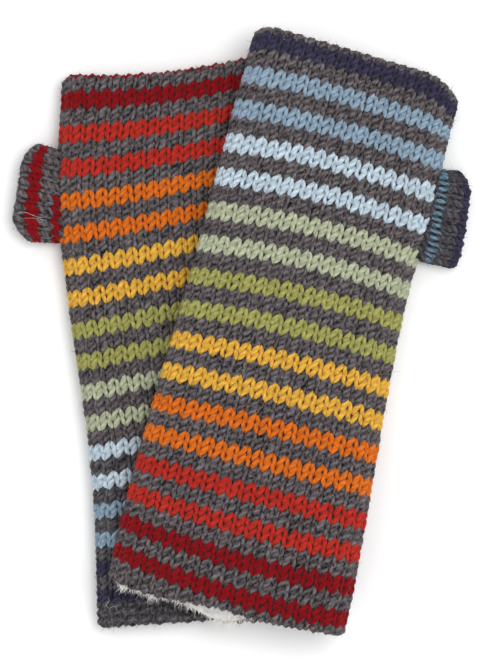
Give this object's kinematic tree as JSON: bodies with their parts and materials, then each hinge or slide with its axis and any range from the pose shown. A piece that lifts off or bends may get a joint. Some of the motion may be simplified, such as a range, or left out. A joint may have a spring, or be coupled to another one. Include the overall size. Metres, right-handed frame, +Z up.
{
  "type": "fingerless gloves",
  "caption": "Pair of striped knitted fingerless gloves with fleece linings and open thumb tubes, lying flat with one across the other.",
  "frame": {"origin": "centre of the pair's outline, at the level of the surface that it lies on", "axes": "+Y towards the finger ends, +Z up from the surface, +X across the pair towards the upper glove's thumb"},
  "size_m": [0.1855, 0.2438, 0.0329],
  "materials": {
    "grey_yarn": "matte",
    "crimson_yarn": "matte",
    "red_yarn": "matte",
    "orange_yarn": "matte",
    "yellow_yarn": "matte",
    "lime_yarn": "matte",
    "sage_yarn": "matte",
    "pale_blue_yarn": "matte",
    "blue_yarn": "matte",
    "navy_yarn": "matte",
    "fleece": "matte",
    "sewing_thread": "matte"
  },
  "bodies": {
    "lower_glove": {"lower_grey_yarn": "grey_yarn", "lower_crimson_yarn": "crimson_yarn", "lower_red_yarn": "red_yarn", "lower_orange_yarn": "orange_yarn", "lower_yellow_yarn": "yellow_yarn", "lower_lime_yarn": "lime_yarn", "lower_sage_yarn": "sage_yarn", "lower_pale_blue_yarn": "pale_blue_yarn", "lower_blue_yarn": "blue_yarn", "lower_navy_yarn": "navy_yarn", "lower_hand_lining": "fleece", "lower_cuff_stitching": "sewing_thread", "lower_finger_stitching": "sewing_thread"},
    "lower_thumb": {"lower_thumb_grey_yarn": "grey_yarn", "lower_thumb_crimson_yarn": "crimson_yarn", "lower_thumb_lining": "fleece", "lower_thumb_stitching": "sewing_thread"},
    "upper_glove": {"upper_grey_yarn": "grey_yarn", "upper_crimson_yarn": "crimson_yarn", "upper_red_yarn": "red_yarn", "upper_orange_yarn": "orange_yarn", "upper_yellow_yarn": "yellow_yarn", "upper_lime_yarn": "lime_yarn", "upper_sage_yarn": "sage_yarn", "upper_pale_blue_yarn": "pale_blue_yarn", "upper_blue_yarn": "blue_yarn", "upper_navy_yarn": "navy_yarn", "upper_hand_lining": "fleece", "upper_cuff_stitching": "sewing_thread", "upper_finger_stitching": "sewing_thread"},
    "upper_thumb": {"upper_thumb_grey_yarn": "grey_yarn", "upper_thumb_blue_yarn": "blue_yarn", "upper_thumb_navy_yarn": "navy_yarn", "upper_thumb_lining": "fleece", "upper_thumb_stitching": "sewing_thread"}
  },
  "joints": [
    {"name": "upper_glove_lift", "type": "slide", "parent": "lower_glove", "child": "upper_glove", "axis": [0, 0, 1], "range_m": [0, 0.06]},
    {"name": "lower_thumb_fold", "type": "hinge", "parent": "lower_glove", "child": "lower_thumb", "pos_m": [-0.06856, 0.05501, 0.0129], "axis": [0, 1, 0], "range_deg": [0, 80]},
    {"name": "upper_thumb_fold", "type": "hinge", "parent": "upper_glove", "child": "upper_thumb", "pos_m": [0.07076, 0.04734, 0.0129], "axis": [-0.2079, -0.9781, 0], "range_deg": [0, 80]}
  ]
}
